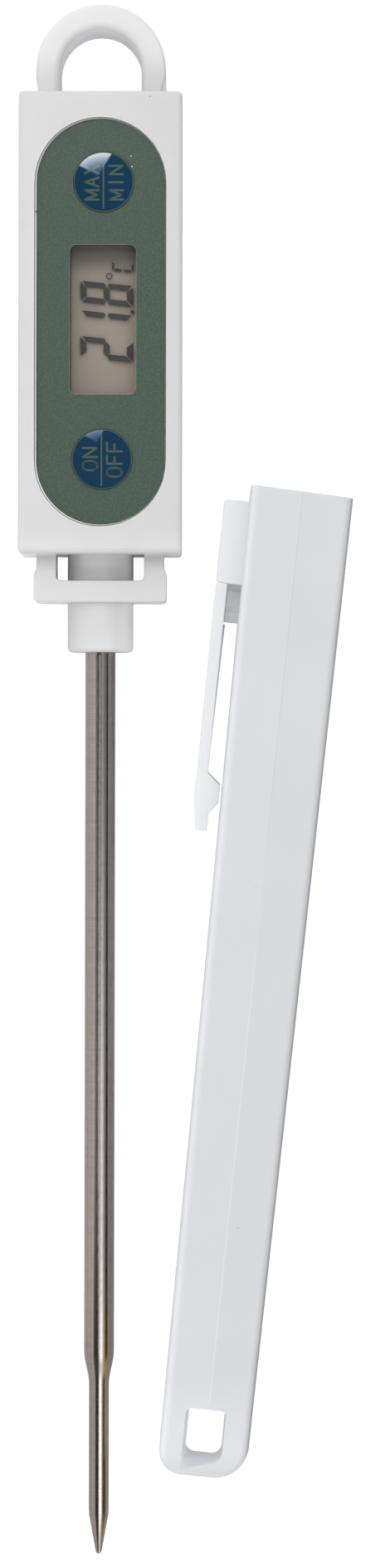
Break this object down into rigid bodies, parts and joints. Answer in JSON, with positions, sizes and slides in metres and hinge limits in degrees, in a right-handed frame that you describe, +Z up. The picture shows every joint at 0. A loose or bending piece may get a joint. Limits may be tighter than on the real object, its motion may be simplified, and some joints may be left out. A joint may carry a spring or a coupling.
{
  "type": "digital soil thermometer with probe and sheath",
  "caption": "Pen-type digital soil thermometer with a long pointed steel probe, two push buttons and a hanging loop, lying beside its clip-on probe sheath.",
  "frame": {"origin": "middle of the thermometer and its sheath, on the surface that both lie on", "axes": "+Z up, the way the display faces; +Y along the thermometer from the probe's tip to the hanging loop; +X towards the sheath"},
  "size_m": [0.044, 0.2048, 0.0205],
  "materials": {
    "white_shell": "satin moulded ABS, warm white",
    "white_sheath": "satin moulded ABS, cool white",
    "green_film": "satin printed film",
    "blue_button": "polished blue",
    "clear_lens": "clear acrylic",
    "display": "liquid crystal glass over a grey-brown ground",
    "silver_film": "satin reflective film",
    "stainless_steel": "brushed stainless",
    "cell_steel": "nickel-plated can",
    "screw_steel": "zinc-plated",
    "spring_brass": "bright spring brass",
    "inner_plastic": "plain white nylon",
    "black_rubber": "matt black",
    "board_green": "solder mask",
    "black_epoxy": "cast black epoxy",
    "red_insulation": "red wire insulation",
    "clear_sleeve": "milky heat-resistant tube"
  },
  "bodies": {
    "thermometer": {"front_housing": "white_shell", "rear_housing": "white_shell", "housing_seal": "black_rubber", "face_label": "green_film", "display_lens": "clear_lens", "display_glass": "display", "display_reflector": "silver_film", "display_holder": "inner_plastic", "contact_strip": "black_rubber", "circuit_board": "board_green", "controller_chip": "black_epoxy", "timing_crystal": "cell_steel", "max_min_switch": "black_epoxy", "on_off_switch": "black_epoxy", "battery_cell": "cell_steel", "positive_contact": "spring_brass", "negative_contact": "spring_brass", "probe_neck": "white_shell", "neck_seal": "black_rubber", "probe_tube": "stainless_steel", "thermistor": "black_epoxy", "sensor_lead_left": "red_insulation", "sensor_lead_right": "black_rubber", "lead_sleeve": "clear_sleeve", "probe_potting": "black_epoxy", "case_screw_1": "screw_steel", "case_screw_2": "screw_steel", "case_screw_3": "screw_steel", "case_screw_4": "screw_steel", "board_screw_1": "screw_steel", "board_screw_2": "screw_steel"},
    "max_min_key": {"max_min_button": "blue_button", "max_min_plunger": "inner_plastic"},
    "on_off_key": {"on_off_button": "blue_button", "on_off_plunger": "inner_plastic"},
    "door": {"battery_door": "white_shell", "battery_door_seal": "black_rubber"},
    "probe_sheath": {"sheath": "white_sheath"},
    "clip": {"pocket_clip": "white_sheath"}
  },
  "joints": [
    {"name": "max_min_press", "type": "slide", "parent": "thermometer", "child": "max_min_key", "axis": [0, 0, -1], "range_m": [0, 0.0004], "stiffness_N_per_m": 800},
    {"name": "on_off_press", "type": "slide", "parent": "thermometer", "child": "on_off_key", "axis": [0, 0, -1], "range_m": [0, 0.0004], "stiffness_N_per_m": 800},
    {"name": "door_turn", "type": "hinge", "parent": "thermometer", "child": "door", "pos_m": [-0.01124, 0.07802, 0], "axis": [0, 0, -1], "range_deg": [0, 90]},
    {"name": "sheath_lift", "type": "slide", "parent": "thermometer", "child": "probe_sheath", "axis": [0, 0, 1], "range_m": [0, 0.05]},
    {"name": "clip_bend", "type": "hinge", "parent": "probe_sheath", "child": "clip", "pos_m": [0.00479, 0.02631, 0.00989], "axis": [0.0029, 0.0295, -0.9996], "range_deg": [0, 5], "stiffness_Nm_per_rad": 0.5}
  ]
}
